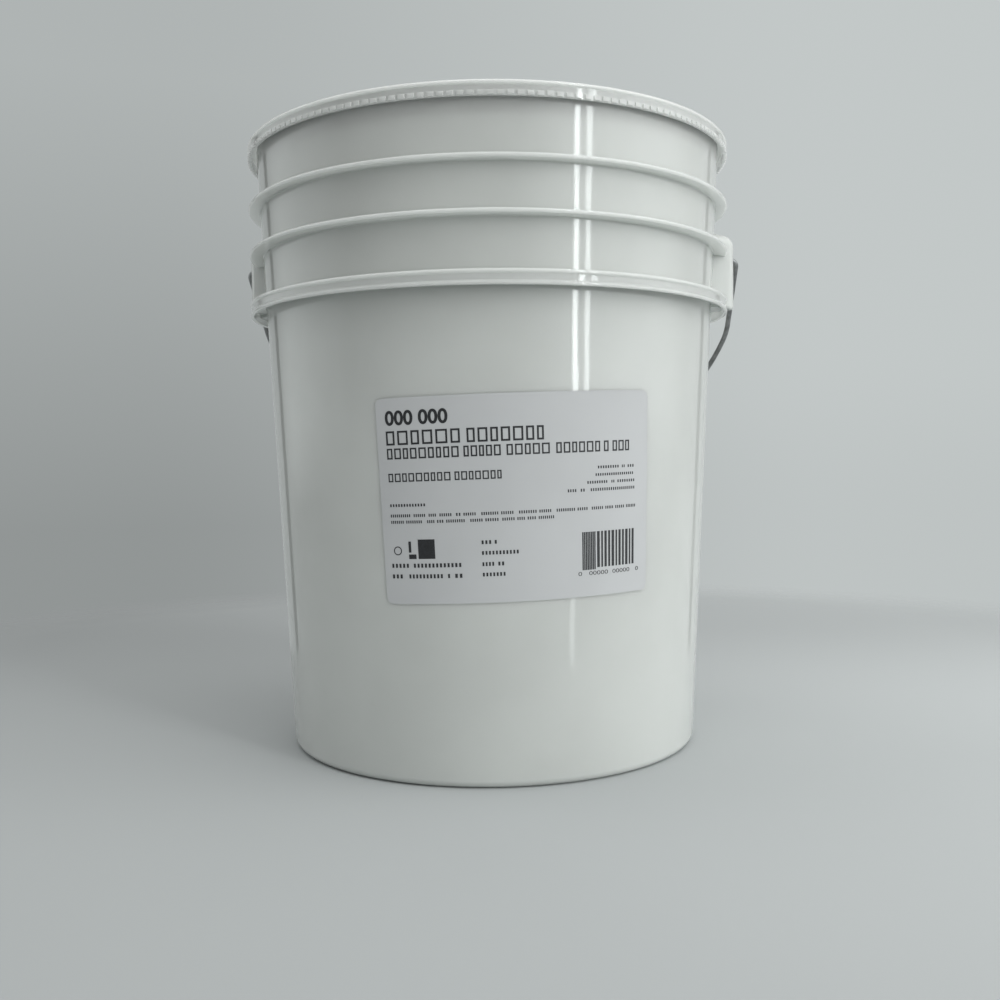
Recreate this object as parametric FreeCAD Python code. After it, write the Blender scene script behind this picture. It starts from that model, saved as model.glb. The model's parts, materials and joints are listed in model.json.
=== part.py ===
import FreeCAD, Part
import math
import os

# Five gallon plastic pail of pickles, shut by its lid. Millimetres, +Z up.
# The origin is the centre of the flat bottom and the bail turns about an axis along X.

# Pail body
PAIL_HEIGHT = 371.5          # floor to the top of the lid's rim
FOOT_RADIUS = 128.8          # outer wall radius at the floor, before the corner is rounded
MOUTH_RADIUS = 146.1         # outer wall radius at the top
FOOT_CORNER = 4.5            # rounding between the wall and the bottom
RIM_WALL = 2.4               # wall thickness at the mouth
BOTTOM_GROOVE_INSET = 14.3   # outer side of the groove, inside the foot's radius
BOTTOM_GROOVE_WIDTH = 5.0
BOTTOM_GROOVE_DEPTH = 1.6

# Flanges around the upper wall
FLANGE_REACH = 5.4           # rings, collar and lid skirt stand this far outside the mouth's wall
RING_THICKNESS = 2.2
RING_TIP_ROUND = 0.99
FIRST_RING_DROP = 36.5       # top of the upper ring, measured down from the lid's rim
SECOND_RING_DROP = 64.5      # top of the lower ring, measured down from the lid's rim
COLLAR_DROP = 95.2           # top of the collar, measured down from the lid's rim
COLLAR_HEIGHT = 8.2
COLLAR_THICKNESS = 2.2
COLLAR_TOP_ROUND = 1.3
COLLAR_INNER_ROUND = 1.2
COLLAR_LIP_ROUND = 0.8

# Lid
LID_THICKNESS = 2.4
LID_SKIRT_HEIGHT = 8.0
LID_SKIRT_THICKNESS = 2.3
LID_RECESS_DEPTH = 11.5      # rim's top down to the sunk panel
LID_STEP_INSET = 23.0        # from the recess wall to the foot of the raised middle
LID_STEP_HEIGHT = 2.0
LID_FIT_GAP = 0.3
LID_EDGE_ROUND = 2.0
LID_LIP_ROUND = 0.8
LID_STEP_ROUND = 0.6

# Ears that carry the bail
EAR_REACH = 5.3              # nose of the ear, outside the flanges
EAR_NOSE_RADIUS = 10.0       # rounding of the nose, seen from above
EAR_ROOT_HALF_WIDTH = 20.0   # the flanks spread to this on the wall
EAR_RISE = 15.5              # top of the ear above the pivot
EAR_ABOVE_COLLAR = 4.2       # bottom of the ear above the collar's lower edge
EAR_TOP_ROUND = 8.0
EAR_BOTTOM_ROUND = 2.0
PIVOT_DROP = 67.7            # pivot axis, measured down from the lid's rim
PIVOT_SEAT_DEPTH = 12.5      # how far the wire reaches into the ear
PIVOT_GAP = 0.3              # radial gap between the wire and its hole
PIVOT_END_GAP = 1.0          # between the wire's end and the bottom of its hole
PIVOT_MOUTH_DEPTH = 3.0      # flared mouth of the hole
PIVOT_MOUTH_FLARE = 2.4

# Bail
WIRE_RADIUS = 1.65
BAIL_EAR_GAP = 0.55          # between the ear's nose and the leg of the bail
KNUCKLE_RADIUS = 5.5
LEG_LENGTH = 54.0
SHOULDER_RADIUS = 68.0
SHOULDER_TURN = 14.0         # degrees
CORNER_START = 50.0          # degrees turned where the corner arc begins
BAIL_LID_GAP = 18.0          # between the grip and the lid's edge as the bail swings over
STRAIGHT_LENGTH = 90.0       # straight middle of the bail
GRIP_END_GAP = 2.0           # straight wire left free at each end of the grip
GRIP_RADIUS = 9.5
GRIP_FLANGE_REACH = 1.5      # end flanges stand this far outside the sleeve
GRIP_FLANGE_WIDTH = 3.0
GRIP_FLANGE_ROUND = 1.0
GRIP_SHOULDER_ROUND = 0.7
GRIP_BORE_GAP = 0.1
GRIP_WALL_GAP = 0.4          # between the hanging grip and the pail's wall

# Label
LABEL_WIDTH = 155.0          # along the wall
LABEL_HEIGHT = 111.0
LABEL_CENTRE_HEIGHT = 158.2
LABEL_AZIMUTH = 11.1         # degrees from -Y towards +X
LABEL_TILT = 1.5             # degrees, right end higher
LABEL_CORNER = 4.0
LABEL_THICKNESS = 0.25
LABEL_GLUE = 0.05

UP = FreeCAD.Vector(0, 0, 1)
ORIGIN = FreeCAD.Vector(0, 0, 0)
X_AXIS = FreeCAD.Vector(1, 0, 0)

TAPER = (MOUTH_RADIUS - FOOT_RADIUS) / PAIL_HEIGHT
FLANGE_RADIUS = MOUTH_RADIUS + FLANGE_REACH
PIVOT_HEIGHT = PAIL_HEIGHT - PIVOT_DROP
EAR_NOSE = FLANGE_RADIUS + EAR_REACH
COLLAR_TOP = PAIL_HEIGHT - COLLAR_DROP
COLLAR_BOTTOM = COLLAR_TOP - COLLAR_HEIGHT
EAR_BOTTOM = COLLAR_BOTTOM + EAR_ABOVE_COLLAR
EAR_TOP = PIVOT_HEIGHT + EAR_RISE
LID_UNDERSIDE = PAIL_HEIGHT - LID_THICKNESS
PANEL_TOP = PAIL_HEIGHT - LID_RECESS_DEPTH
PANEL_UNDERSIDE = PANEL_TOP - LID_THICKNESS
RIM_INNER_RADIUS = MOUTH_RADIUS - RIM_WALL
SKIRT_INNER_RADIUS = FLANGE_RADIUS - LID_SKIRT_THICKNESS
GRIP_FLANGE_RADIUS = GRIP_RADIUS + GRIP_FLANGE_REACH
LEG_SPACING = EAR_NOSE + BAIL_EAR_GAP + WIRE_RADIUS
WIRE_END = EAR_NOSE - PIVOT_SEAT_DEPTH


def wall_radius(height, offset=0.0):
    """Outer radius of the tapered wall, or of a surface that lies offset outside it."""
    return FOOT_RADIUS + TAPER * height + offset


def at(radius, height):
    return FreeCAD.Vector(radius, 0, height)


def line(start, end):
    return Part.makeLine(start, end)


def arc(start, middle, end):
    return Part.Arc(start, middle, end).toShape()


def rounded_outline(corners):
    """Closed outline in the XZ plane. Each corner is (radius, height, rounding)."""
    count = len(corners)
    starts = []
    ends = []
    middles = []
    for i in range(count):
        here = at(corners[i][0], corners[i][1])
        before = at(corners[i - 1][0], corners[i - 1][1])
        after = at(corners[(i + 1) % count][0], corners[(i + 1) % count][1])
        to_before = (before - here).normalize()
        to_after = (after - here).normalize()
        half = to_before.getAngle(to_after) / 2
        rounding = corners[i][2]
        setback = rounding / math.tan(half)
        bisector = (to_before + to_after).normalize()
        starts.append(here + to_before * setback)
        ends.append(here + to_after * setback)
        middles.append(here + bisector * (rounding / math.sin(half) - rounding))
    edges = []
    for i in range(count):
        if corners[i][2] > 0:
            edges.append(arc(starts[i], middles[i], ends[i]))
        following = starts[(i + 1) % count]
        edges.append(line(ends[i], following))
    return Part.Wire(edges)


def revolved(corners):
    return Part.Face(rounded_outline(corners)).revolve(ORIGIN, UP, 360)


def ring_corners(top):
    """Outline of one thin ring, from the wall under it to the wall above it."""
    bottom = top - RING_THICKNESS
    tip = min(RING_TIP_ROUND, RING_THICKNESS * 0.45)
    return [
        (wall_radius(bottom), bottom, 0),
        (FLANGE_RADIUS, bottom, tip),
        (FLANGE_RADIUS, top, tip),
        (wall_radius(top), top, 0),
    ]


def collar_corners():
    """Outline of the collar: a flange with a skirt that hangs from it, hollow behind."""
    ceiling = COLLAR_TOP - COLLAR_THICKNESS
    skirt_inner = FLANGE_RADIUS - COLLAR_THICKNESS
    return [
        (wall_radius(ceiling), ceiling, 0),
        (skirt_inner, ceiling, COLLAR_INNER_ROUND),
        (skirt_inner, COLLAR_BOTTOM, COLLAR_LIP_ROUND),
        (FLANGE_RADIUS, COLLAR_BOTTOM, COLLAR_LIP_ROUND),
        (FLANGE_RADIUS, COLLAR_TOP, COLLAR_TOP_ROUND),
        (wall_radius(COLLAR_TOP), COLLAR_TOP, 0),
    ]


def body_of_pail():
    """Wall, bottom, flanges and filling, revolved as one solid up to the lid's panel."""
    groove_outer = FOOT_RADIUS - BOTTOM_GROOVE_INSET
    groove_inner = groove_outer - BOTTOM_GROOVE_WIDTH
    corners = [
        (0, 0, 0),
        (groove_inner, 0, 0),
        (groove_inner, BOTTOM_GROOVE_DEPTH, 0),
        (groove_outer, BOTTOM_GROOVE_DEPTH, 0),
        (groove_outer, 0, 0),
        (FOOT_RADIUS, 0, FOOT_CORNER),
    ]
    corners += collar_corners()
    corners += ring_corners(PAIL_HEIGHT - SECOND_RING_DROP)
    corners += ring_corners(PAIL_HEIGHT - FIRST_RING_DROP)
    corners += [
        (wall_radius(LID_UNDERSIDE), LID_UNDERSIDE, 0),
        (RIM_INNER_RADIUS, LID_UNDERSIDE, 0),
        (RIM_INNER_RADIUS, PANEL_UNDERSIDE, 0),
        (0, PANEL_UNDERSIDE, 0),
    ]
    return revolved(corners)


def ear():
    """Boss with a round nose, spread flanks and a rounded top, on the +X side."""
    root = math.sqrt(wall_radius(EAR_BOTTOM) ** 2 - EAR_ROOT_HALF_WIDTH ** 2) - RIM_WALL
    nose_centre = EAR_NOSE - EAR_NOSE_RADIUS
    flank_span = math.hypot(root - nose_centre, EAR_ROOT_HALF_WIDTH)
    flank_start = math.atan2(EAR_ROOT_HALF_WIDTH, root - nose_centre)
    touch = flank_start - math.acos(EAR_NOSE_RADIUS / flank_span)
    touch_x = nose_centre + EAR_NOSE_RADIUS * math.cos(touch)
    touch_y = EAR_NOSE_RADIUS * math.sin(touch)
    back_left = FreeCAD.Vector(root, EAR_ROOT_HALF_WIDTH, EAR_BOTTOM)
    back_right = FreeCAD.Vector(root, -EAR_ROOT_HALF_WIDTH, EAR_BOTTOM)
    front_left = FreeCAD.Vector(touch_x, touch_y, EAR_BOTTOM)
    front_right = FreeCAD.Vector(touch_x, -touch_y, EAR_BOTTOM)
    nose = FreeCAD.Vector(EAR_NOSE, 0, EAR_BOTTOM)
    outline = Part.Wire([
        line(back_left, back_right),
        line(back_right, front_right),
        arc(front_right, nose, front_left),
        line(front_left, back_left),
    ])
    boss = Part.Face(outline).extrude(UP * (EAR_TOP - EAR_BOTTOM))
    boss = boss.makeFillet(EAR_TOP_ROUND, outer_edges(boss, EAR_TOP, root))
    boss = boss.makeFillet(EAR_BOTTOM_ROUND, outer_edges(boss, EAR_BOTTOM, root))
    return boss


def outer_edges(shape, height, root):
    """Edges of a boss that lie level at a height, away from its root on the wall."""
    chosen = []
    for edge in shape.Edges:
        box = edge.BoundBox
        level = abs(box.ZMin - height) < 0.01 and abs(box.ZMax - height) < 0.01
        if level and box.XMax > root + 0.01:
            chosen.append(edge)
    return chosen


def pivot_hole():
    """Blind hole for the wire's end, with a flared mouth, on the +X side."""
    radius = WIRE_RADIUS + PIVOT_GAP
    bottom_of_hole = WIRE_END - PIVOT_END_GAP
    start = FreeCAD.Vector(bottom_of_hole, 0, PIVOT_HEIGHT)
    bore = Part.makeCylinder(radius, EAR_NOSE - bottom_of_hole, start, X_AXIS)
    mouth_start = FreeCAD.Vector(EAR_NOSE - PIVOT_MOUTH_DEPTH, 0, PIVOT_HEIGHT)
    mouth_end_radius = radius + 2 * PIVOT_MOUTH_FLARE
    mouth = Part.makeCone(radius, mouth_end_radius, 2 * PIVOT_MOUTH_DEPTH, mouth_start, X_AXIS)
    return bore.fuse(mouth)


def both_sides(shape):
    """The +X shape and its copy turned half way round the pail."""
    other = shape.copy()
    other.rotate(ORIGIN, UP, 180)
    return [shape, other]


def pail():
    solid = body_of_pail().fuse(both_sides(ear()))
    solid = solid.cut(both_sides(pivot_hole()))
    return solid.removeSplitter()


def lid():
    """Press-on lid: short outer skirt, flat rim, sunk panel with a raised middle."""
    skirt_bottom = PAIL_HEIGHT - LID_SKIRT_HEIGHT
    plug_outer = RIM_INNER_RADIUS - LID_FIT_GAP
    plug_inner = plug_outer - LID_THICKNESS
    step_top = PANEL_TOP + LID_STEP_HEIGHT
    step_foot = plug_inner - LID_STEP_INSET
    step_edge = step_foot - LID_STEP_HEIGHT
    corners = [
        (0, PANEL_UNDERSIDE, 0),
        (plug_outer, PANEL_UNDERSIDE, 0),
        (plug_outer, LID_UNDERSIDE, 0),
        (SKIRT_INNER_RADIUS, LID_UNDERSIDE, 0),
        (SKIRT_INNER_RADIUS, skirt_bottom, LID_LIP_ROUND),
        (FLANGE_RADIUS, skirt_bottom, LID_LIP_ROUND),
        (FLANGE_RADIUS, PAIL_HEIGHT, LID_EDGE_ROUND),
        (plug_inner, PAIL_HEIGHT, LID_EDGE_ROUND),
        (plug_inner, PANEL_TOP, LID_EDGE_ROUND),
        (step_foot, PANEL_TOP, LID_STEP_ROUND),
        (step_edge, step_top, LID_STEP_ROUND),
        (0, step_top, 0),
    ]
    return revolved(corners)


def bail_height():
    """Distance from the pivot axis to the wire at the grip: it clears the lid's edge."""
    lid_edge = math.hypot(FLANGE_RADIUS, PIVOT_DROP)
    return lid_edge + BAIL_LID_GAP + GRIP_FLANGE_RADIUS


def hanging_angle():
    """Angle of the bail below level, in radians, where the grip lies by the wall."""
    slope = math.atan(TAPER)
    reach = wall_radius(PIVOT_HEIGHT) * math.cos(slope) + GRIP_RADIUS + GRIP_WALL_GAP
    return slope + math.acos(reach / bail_height())


def corner_radii(shoulder_side, shoulder_reach):
    """Main and corner radii that bring each side level at the straight middle."""
    turned = math.radians(SHOULDER_TURN)
    start = math.radians(CORNER_START)
    across = shoulder_side - STRAIGHT_LENGTH / 2
    along = bail_height() - shoulder_reach
    a = math.cos(turned) - math.cos(start)
    b = math.cos(start)
    c = math.sin(start) - math.sin(turned)
    d = 1 - math.sin(start)
    determinant = a * d - b * c
    main = (across * d - b * along) / determinant
    corner = (a * along - across * c) / determinant
    return main, corner


def bail_side():
    """Edges of the +X half of the bail, in a plane: x is across, y is along the bail."""
    edges = []
    point = FreeCAD.Vector(WIRE_END, 0, 0)
    knuckle_start = FreeCAD.Vector(LEG_SPACING - KNUCKLE_RADIUS, 0, 0)
    edges.append(line(point, knuckle_start))
    bend_centre = FreeCAD.Vector(LEG_SPACING - KNUCKLE_RADIUS, KNUCKLE_RADIUS, 0)
    leg_start = FreeCAD.Vector(LEG_SPACING, KNUCKLE_RADIUS, 0)
    edges.append(arc(knuckle_start, polar(bend_centre, KNUCKLE_RADIUS, -45), leg_start))
    leg_end = FreeCAD.Vector(LEG_SPACING, LEG_LENGTH, 0)
    edges.append(line(leg_start, leg_end))
    centre = leg_end - FreeCAD.Vector(SHOULDER_RADIUS, 0, 0)
    shoulder_end = polar(centre, SHOULDER_RADIUS, SHOULDER_TURN)
    edges.append(arc(leg_end, polar(centre, SHOULDER_RADIUS, SHOULDER_TURN / 2), shoulder_end))
    main, corner = corner_radii(shoulder_end.x, shoulder_end.y)
    centre = polar(shoulder_end, main, SHOULDER_TURN + 180)
    middle = (SHOULDER_TURN + CORNER_START) / 2
    main_end = polar(centre, main, CORNER_START)
    edges.append(arc(shoulder_end, polar(centre, main, middle), main_end))
    centre = polar(main_end, corner, CORNER_START + 180)
    middle = (CORNER_START + 90) / 2
    corner_end = polar(centre, corner, 90)
    edges.append(arc(main_end, polar(centre, corner, middle), corner_end))
    return edges, corner_end


def polar(centre, radius, degrees):
    angle = math.radians(degrees)
    return centre + FreeCAD.Vector(radius * math.cos(angle), radius * math.sin(angle), 0)


def hang(shape):
    """Turns a shape from the bail's own plane to where it hangs behind the pail."""
    shape.rotate(ORIGIN, X_AXIS, -math.degrees(hanging_angle()))
    shape.translate(UP * PIVOT_HEIGHT)
    return shape


def bail():
    """Wire swept along straight runs and tangent arcs from ear to ear."""
    right, right_end = bail_side()
    left_end = FreeCAD.Vector(-right_end.x, right_end.y, 0)
    left = []
    for edge in right:
        left.append(edge.mirror(ORIGIN, X_AXIS))
    path = Part.Wire(Part.__sortEdges__(right + [line(right_end, left_end)] + left))
    start = FreeCAD.Vector(WIRE_END, 0, 0)
    section = Part.Wire([Part.makeCircle(WIRE_RADIUS, start, X_AXIS)])
    wire = path.makePipeShell([section], True, False)
    expected = math.pi * WIRE_RADIUS ** 2 * path.Length
    print("bail volume", round(wire.Volume, 1), "section times length", round(expected, 1))
    return hang(wire)


def grip():
    """Plastic sleeve on the straight middle of the bail, with a small flange at each end."""
    half = STRAIGHT_LENGTH / 2 - GRIP_END_GAP
    inner_flange = half - GRIP_FLANGE_WIDTH
    bore = WIRE_RADIUS + GRIP_BORE_GAP
    along = bail_height()
    corners = [
        (bore, -half, 0),
        (bore, half, 0),
        (GRIP_FLANGE_RADIUS, half, GRIP_FLANGE_ROUND),
        (GRIP_FLANGE_RADIUS, inner_flange, GRIP_SHOULDER_ROUND),
        (GRIP_RADIUS, inner_flange, GRIP_SHOULDER_ROUND),
        (GRIP_RADIUS, -inner_flange, GRIP_SHOULDER_ROUND),
        (GRIP_FLANGE_RADIUS, -inner_flange, GRIP_SHOULDER_ROUND),
        (GRIP_FLANGE_RADIUS, -half, GRIP_FLANGE_ROUND),
    ]
    sleeve = revolved(corners)
    sleeve.rotate(ORIGIN, FreeCAD.Vector(0, 1, 0), 90)
    sleeve.translate(FreeCAD.Vector(0, along, 0))
    return hang(sleeve)


def shell_of_wall(inner_offset, outer_offset, bottom, top):
    """Thin tapered shell outside the wall between two heights."""
    return revolved([
        (wall_radius(bottom, inner_offset), bottom, 0),
        (wall_radius(bottom, outer_offset), bottom, 0),
        (wall_radius(top, outer_offset), top, 0),
        (wall_radius(top, inner_offset), top, 0),
    ])


def label():
    """Paper label with rounded corners, wrapped on the wall and set a little askew."""
    radius = wall_radius(LABEL_CENTRE_HEIGHT)
    half_width = radius * math.sin(LABEL_WIDTH / 2 / radius)
    half_height = LABEL_HEIGHT / 2
    outline = rounded_outline([
        (-half_width, -half_height, LABEL_CORNER),
        (half_width, -half_height, LABEL_CORNER),
        (half_width, half_height, LABEL_CORNER),
        (-half_width, half_height, LABEL_CORNER),
    ])
    stamp = Part.Face(outline).extrude(FreeCAD.Vector(0, -2 * radius, 0))
    stamp.rotate(ORIGIN, FreeCAD.Vector(0, 1, 0), -LABEL_TILT)
    stamp.translate(UP * LABEL_CENTRE_HEIGHT)
    stamp.rotate(ORIGIN, UP, LABEL_AZIMUTH)
    margin = LABEL_HEIGHT
    shell = shell_of_wall(
        LABEL_GLUE,
        LABEL_GLUE + LABEL_THICKNESS,
        LABEL_CENTRE_HEIGHT - margin,
        LABEL_CENTRE_HEIGHT + margin,
    )
    return shell.common(stamp)


def write(node, shape):
    solids = shape.Solids
    if len(solids) != 1 or not solids[0].isValid():
        raise ValueError(node + " is not one valid solid")
    solids[0].exportStep("parts/" + node + ".step")


os.makedirs("parts", exist_ok=True)
write("pail", pail())
write("lid", lid())
write("label", label())
write("bail", bail())
write("grip", grip())
print("bail hangs", round(math.degrees(hanging_angle()), 2), "degrees below level")
print("bail height", round(bail_height(), 1))
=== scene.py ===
import json
import math

import bmesh
import bpy
from bpy.props import FloatProperty, FloatVectorProperty, IntProperty, PointerProperty
from mathutils import Matrix, Vector


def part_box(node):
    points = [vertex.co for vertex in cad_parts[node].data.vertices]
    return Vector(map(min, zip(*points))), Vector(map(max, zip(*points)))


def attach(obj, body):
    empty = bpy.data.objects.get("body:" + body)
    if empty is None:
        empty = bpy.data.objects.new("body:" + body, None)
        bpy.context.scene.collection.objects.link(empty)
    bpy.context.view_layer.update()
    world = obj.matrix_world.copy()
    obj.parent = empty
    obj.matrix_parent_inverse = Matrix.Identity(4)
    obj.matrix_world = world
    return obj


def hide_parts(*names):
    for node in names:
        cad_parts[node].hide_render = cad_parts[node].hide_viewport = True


bl_info = {
    "name": "Shut Food Pail",
    "version": (1, 0, 0),
    "blender": (4, 5, 0),
    "location": "3D View > Sidebar > Pail",
    "description": "Builds a shut white plastic food pail with lid, label and wire bail",
    "category": "Object",
}

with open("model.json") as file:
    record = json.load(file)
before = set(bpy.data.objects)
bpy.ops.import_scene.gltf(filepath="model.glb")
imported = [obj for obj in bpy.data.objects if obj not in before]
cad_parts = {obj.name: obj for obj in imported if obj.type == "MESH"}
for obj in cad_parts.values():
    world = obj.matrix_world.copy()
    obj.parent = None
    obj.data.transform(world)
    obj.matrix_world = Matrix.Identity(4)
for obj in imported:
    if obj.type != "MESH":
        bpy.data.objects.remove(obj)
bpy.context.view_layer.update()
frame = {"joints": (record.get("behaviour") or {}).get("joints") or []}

MM = 0.001
QUARTER_TURN = math.radians(90)
PAIL_BODY = "pail"
BAIL_BODY = "bail"
PAIL_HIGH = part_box("pail")[1]
LID_LOW, LID_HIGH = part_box("lid")
PIVOT_HEIGHT = frame["joints"][0]["pos_m"][2]
FLANGE_RADIUS = LID_HIGH.x
EAR_NOSE = PAIL_HIGH.x
# Places closer than this count as one.
TOLERANCE = 0.01 * MM
# Each tooth is two faces wide, with one face between it and the next.
FACES_PER_TOOTH = 3
# Plain edge left under the teeth.
TOOTH_FOOT = 0.3 * MM
RIM_WALL = 2.4 * MM
PLUG_GAP = 0.3 * MM
LABEL_LIFT = 0.15 * MM
PRINT_THICKNESS = 0.05 * MM

# The camera, and the light that is turned with it about the pail's axis.
CAMERA_PLACE = (55.0 * MM, -698.8 * MM, 180.0 * MM)
STUDIO_TURN = math.radians(4.5)
CAMERA_YAW = math.radians(-0.44)
CAMERA_PITCH = math.radians(-2.32)
CAMERA_ROLL = math.radians(0.71)
SENSOR_WIDTH = 36.0
BACKDROP_TINT = (0.955, 1.015, 1.01, 1.0)
CEILING_LEVEL = 1.7
# Soft panels round the room: azimuth from the front, half width, flat middle, level. A negative
# level is a dark flag.
ROOM_PANELS = (
    (65.0, 53.0, 0.0, 1.42),
    (-104.0, 34.0, 0.0, 0.72),
    (-72.0, 35.0, 0.0, -0.26),
)
# Two dark gaps at the back, with their azimuths, half width and flat middle.
GAP_AZIMUTHS = (139.0, -139.0)
GAP_HALF_WIDTH = 3.4
GAP_MIDDLE = 2.0
# Two thin bright strips: azimuth, level, and the share of the level left below the horizon.
STRIPS = ((42.3, 12.0, 0.22), (48.3, 8.0, 0.0))
STRIP_HALF_WIDTH = 1.8
STRIP_MIDDLE = 0.9

# The label's layout, in mm from its middle. The widths of letters are shares of one another.
LETTER_WIDTHS = (1.0, 1.15, 0.95, 1.1, 1.2, 1.0, 0.9)
# Plain zeros: text, added weight, two ends, lower and upper edge.
TOP_FIGURES = ("000 000", 0.028, -72.0, -37.0, 40.8, 48.8)
CODE_FIGURES = ("0   00000  00000   0", 0.0, 31.0, 71.0, -44.0, -41.8)
# A dark field and two small blocks: two ends, lower and upper edge.
BLOCKS = (
    (-57.0, -47.5, -31.0, -20.5),
    (-62.5, -58.2, -31.0, -28.5),
    (-62.5, -61.0, -27.5, -21.5),
)
RING_MIDDLE = (-69.0, -26.5)
RING_RADIUS = 2.4
RING_STROKE = 0.55
# Large rows: stroke, lower and upper edge, and for each word its two ends and number of letters.
LARGE_ROWS = (
    (1.05, 30.3, 37.9, ((-72.0, -31.0, 6), (-27.5, 13.0, 7))),
    (0.85, 22.8, 28.6, (
        (-72.0, -32.0, 9),
        (-29.5, -10.0, 5),
        (-7.0, 16.0, 5),
        (19.5, 45.0, 6),
        (47.3, 50.3, 1),
        (52.8, 64.0, 3),
    )),
    (0.7, 10.6, 15.2, ((-72.0, -37.0, 9), (-34.8, -10.0, 7))),
)
# Small rows: middle, height, spacing of the ticks, and the two ends of each word.
SMALL_ROWS = (
    (14.4, 1.5, 1.5, ((43.5, 57.5), (59.0, 61.5), (63.0, 68.0))),
    (10.4, 1.4, 1.4, ((42.0, 67.5),)),
    (6.4, 1.5, 1.5, ((37.0, 50.0), (52.0, 54.5), (56.0, 68.5))),
    (2.4, 1.6, 1.4, ((25.5, 31.0), (33.0, 36.0), (39.0, 68.5))),
    (-2.0, 1.5, 1.6, ((-72.0, -51.0),)),
    (-7.6, 1.6, 1.2, (
        (-72.0, -60.0), (-58.5, -51.5), (-50.0, -45.5), (-44.0, -37.0), (-35.0, -32.0),
        (-31.0, -24.0), (-21.5, -12.0), (-11.0, -4.0), (-1.5, 8.5), (9.5, 16.5), (19.0, 30.0),
        (31.0, 37.5), (39.5, 47.0), (48.0, 53.5), (54.5, 61.0), (62.0, 69.0),
    )),
    (-11.0, 1.6, 1.2, (
        (-72.0, -64.0), (-63.0, -53.5), (-51.0, -46.5), (-45.5, -41.5), (-40.5, -30.0),
        (-27.5, -20.5), (-19.5, -12.0), (-10.5, -3.5), (-2.5, 2.0), (3.0, 8.0), (9.0, 18.0),
    )),
    (-22.9, 2.0, 1.9, ((-22.0, -16.0), (-15.0, -13.0))),
    (-28.6, 2.0, 1.9, ((-22.0, -1.5),)),
    (-34.6, 2.1, 1.9, ((-22.0, -15.0), (-13.5, -9.5))),
    (-40.2, 2.0, 1.9, ((-22.0, -9.0),)),
    (-34.6, 2.2, 2.1, ((-73.0, -62.0), (-60.0, -32.5))),
    (-40.4, 2.2, 2.1, ((-73.0, -66.0), (-63.0, -43.0), (-41.0, -39.0), (-37.0, -32.0))),
)


# -------------------- settings


def length_setting(name, description, default):
    """A size in metres that a user can change."""
    return FloatProperty(
        name=name, description=description, default=default, min=0.0, unit="LENGTH", precision=5
    )


def angle_setting(name, description, degrees):
    """An angle that a user can change."""
    return FloatProperty(
        name=name, description=description, default=math.radians(degrees), subtype="ANGLE"
    )


def colour_setting(name, description, default):
    """A linear colour that a user can change."""
    return FloatVectorProperty(
        name=name, description=description, default=default, subtype="COLOR", min=0.0, max=1.0
    )


def share_setting(name, description, default):
    """A share from 0 to 1 that a user can change."""
    return FloatProperty(
        name=name, description=description, default=default, min=0.0, max=1.0, subtype="FACTOR"
    )


class PailSettings(bpy.types.PropertyGroup):
    """Sizes and finish of the pail."""

    foot_radius: length_setting("Foot radius", "Wall radius at the floor", 128.8 * MM)
    mouth_radius: length_setting("Mouth radius", "Wall radius at the lid's top", 146.1 * MM)
    foot_corner: length_setting("Foot corner", "Rounding of the bottom edge", 4.5 * MM)
    ring_thickness: length_setting("Ring thickness", "Height of each thin ring", 2.2 * MM)
    first_ring_drop: length_setting("First ring", "From the rim's top to the ring's top", 36.5 * MM)
    second_ring_drop: length_setting("Second ring", "Like the first ring's drop", 64.5 * MM)
    collar_drop: length_setting("Collar", "From the rim's top to the collar's top", 95.2 * MM)
    collar_height: length_setting("Collar height", "Height of the collar's skirt", 8.2 * MM)
    collar_thickness: length_setting("Collar thickness", "Wall of the collar", 2.2 * MM)
    root_rounding: length_setting("Root rounding", "Fillet where a ring meets the wall", 0.9 * MM)
    ear_nose_radius: length_setting("Ear nose", "Rounding of an ear's nose", 10.0 * MM)
    ear_root_half_width: length_setting("Ear root", "Half an ear's width on the wall", 20.0 * MM)
    ear_rise: length_setting("Ear rise", "Ear's top above the bail's axis", 15.5 * MM)
    ear_drop: length_setting("Ear drop", "Ear's bottom below the bail's axis", 31.5 * MM)
    ear_top_round: length_setting("Ear top rounding", "Rounding of the ear's top", 8.0 * MM)
    pivot_hole_radius: length_setting("Pivot hole", "Radius of the bail's hole", 1.95 * MM)
    plastic_colour: colour_setting("Plastic", "Natural white plastic", (0.568, 0.592, 0.572))
    plastic_roughness: share_setting("Roughness", "Roughness of the moulded plastic", 0.055)
    segments: IntProperty(name="Segments", description="Facets around the pail", default=256, min=32)


class LidSettings(bpy.types.PropertyGroup):
    """Sizes of the lid."""

    band_height: length_setting("Band height", "Plain outer band of the lid", 5.6 * MM)
    tooth_height: length_setting("Tooth height", "Height of the teeth under the band", 2.4 * MM)
    bead_height: length_setting("Bead height", "Bead round the lid's top edge", 1.5 * MM)
    tooth_inset: length_setting("Tooth inset", "Skirt behind bead and teeth", 0.85 * MM)
    plate: length_setting("Plate", "Thickness of the lid", 2.4 * MM)
    recess_depth: length_setting("Recess depth", "Rim's top down to the panel", 11.5 * MM)
    step_radius: length_setting("Step radius", "Radius of the raised middle", 116.0 * MM)
    step_height: length_setting("Step height", "Height of the raised middle", 2.0 * MM)
    rounding: length_setting("Edge rounding", "Rounding of the lid's edges", 2.0 * MM)
    tooth_count: IntProperty(name="Teeth", description="Teeth round the skirt", default=184, min=8)


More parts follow.
